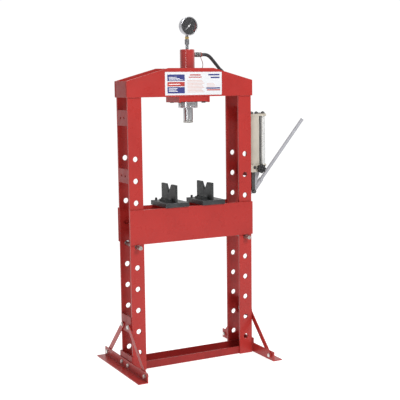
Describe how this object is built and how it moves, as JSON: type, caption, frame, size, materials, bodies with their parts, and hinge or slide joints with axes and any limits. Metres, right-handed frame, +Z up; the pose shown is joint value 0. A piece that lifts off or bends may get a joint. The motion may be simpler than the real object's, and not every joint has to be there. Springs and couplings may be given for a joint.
{
  "type": "hydraulic shop press",
  "caption": "Floor-standing H-frame hydraulic shop press with a hand pump, gauge, sliding bed on pins, arbor plates and vee blocks.",
  "frame": {"origin": "on the floor, midway between the uprights and midway between the front and back bars", "axes": "+X to the right towards the pump, +Y to the back, +Z up"},
  "size_m": [1.0407, 0.505, 1.631],
  "materials": {
    "red_paint": "gloss",
    "red_weldment": "gloss",
    "black_oxide": "satin",
    "zinc": "satin",
    "dark_steel": "satin",
    "chrome": "polished",
    "steel": "satin",
    "bronze": "machined",
    "brass": "satin",
    "hose_rubber": "satin",
    "beige_paint": "gloss",
    "dial_face": "matte",
    "white_print": "gloss",
    "knob_plastic": "satin",
    "grey_tube": "gloss"
  },
  "bodies": {
    "frame": {"upright_lf": "red_paint", "upright_lb": "red_paint", "upright_rf": "red_paint", "upright_rb": "red_paint", "pump_plates_l": "red_weldment", "pump_plates_r": "red_weldment", "brace_plate_l": "red_weldment", "brace_plate_r": "red_weldment", "base_bracket_l": "red_weldment", "base_bracket_r": "red_weldment", "base_channel": "red_weldment", "foot_l_angle": "red_paint", "foot_r_angle": "red_paint", "brace_lf": "red_paint", "brace_lb": "red_paint", "brace_rf": "red_paint", "brace_rb": "red_paint", "foot_bolts": "zinc", "crown_front": "red_paint", "crown_back": "red_paint", "crown_ends": "red_weldment", "crown_seats": "red_weldment", "cyl_bracket": "red_paint", "bracket_bolts": "dark_steel", "label_plate": "white_print", "cyl_barrel": "red_paint", "ring_nut": "chrome", "gland_bush": "bronze", "gauge_stem": "steel", "gauge_nipple": "brass", "gauge_case": "chrome", "gauge_bezel": "chrome", "gauge_dial": "dial_face", "coupler": "steel", "hose": "hose_rubber", "pump_tank": "beige_paint", "pump_cap": "beige_paint", "pump_tube": "zinc", "pump_studs": "dark_steel", "pump_block": "beige_paint", "pump_lug": "dark_steel", "lug_gussets": "zinc", "pump_bolts": "dark_steel"},
    "ram": {"piston": "steel", "ram_rod": "chrome", "ram_pad": "chrome"},
    "gauge_pointer": {"gauge_needle": "white_print"},
    "release_valve": {"release_knob": "knob_plastic"},
    "pump_handle": {"handle_socket": "dark_steel", "handle_tube": "grey_tube"},
    "plunger": {"pump_plunger": "dark_steel"},
    "bed": {"bed_front": "red_paint", "bed_back": "red_paint", "bed_ties": "red_weldment"},
    "bed_pin_left": {"bed_pin_l": "steel"},
    "bed_pin_right": {"bed_pin_r": "steel"},
    "arbor_left": {"arbor_plate_l": "black_oxide"},
    "arbor_right": {"arbor_plate_r": "black_oxide"},
    "vee_left": {"vee_block_l": "black_oxide"},
    "vee_right": {"vee_block_r": "black_oxide"}
  },
  "joints": [
    {"name": "ram_press", "type": "slide", "parent": "frame", "child": "ram", "axis": [0, 0, -1], "range_m": [0, 0.15], "stiffness_N_per_m": 300, "springref_m": -0.4},
    {"name": "gauge_turn", "type": "hinge", "parent": "frame", "child": "gauge_pointer", "pos_m": [0.015, -0.028, 1.588], "axis": [0, 1, 0], "range_deg": [0, 270], "stiffness_Nm_per_rad": 0.0005, "springref_deg": -28.65},
    {"name": "release_turn", "type": "hinge", "parent": "frame", "child": "release_valve", "pos_m": [0.386, -0.04, 0.908], "axis": [0, -1, 0], "range_deg": [0, 270]},
    {"name": "handle_pump", "type": "hinge", "parent": "frame", "child": "pump_handle", "pos_m": [0.367, 0, 0.793], "axis": [0, 1, 0], "range_deg": [-3, 45]},
    {"name": "plunger_stroke", "type": "slide", "parent": "frame", "child": "plunger", "axis": [0, 0, 1], "range_m": [-0.0025, 0.0185]},
    {"name": "bed_lift", "type": "slide", "parent": "frame", "child": "bed", "axis": [0, 0, 1], "range_m": [0, 0.2]},
    {"name": "pin_left_pull", "type": "slide", "parent": "frame", "child": "bed_pin_left", "axis": [0, -1, 0], "range_m": [0, 0.2]},
    {"name": "pin_right_pull", "type": "slide", "parent": "frame", "child": "bed_pin_right", "axis": [0, -1, 0], "range_m": [0, 0.2]},
    {"name": "arbor_left_slide", "type": "slide", "parent": "bed", "child": "arbor_left", "axis": [1, 0, 0], "range_m": [-0.1, 0.008]},
    {"name": "arbor_right_slide", "type": "slide", "parent": "bed", "child": "arbor_right", "axis": [1, 0, 0], "range_m": [-0.004, 0.08]},
    {"name": "vee_left_lift", "type": "slide", "parent": "arbor_left", "child": "vee_left", "axis": [0, 0, 1], "range_m": [0, 0.08]},
    {"name": "vee_right_lift", "type": "slide", "parent": "arbor_right", "child": "vee_right", "axis": [0, 0, 1], "range_m": [0, 0.08]}
  ],
  "couplings": [
    {"joint": "plunger_stroke", "follows": "handle_pump", "m_per_rad": 0.02203}
  ]
}
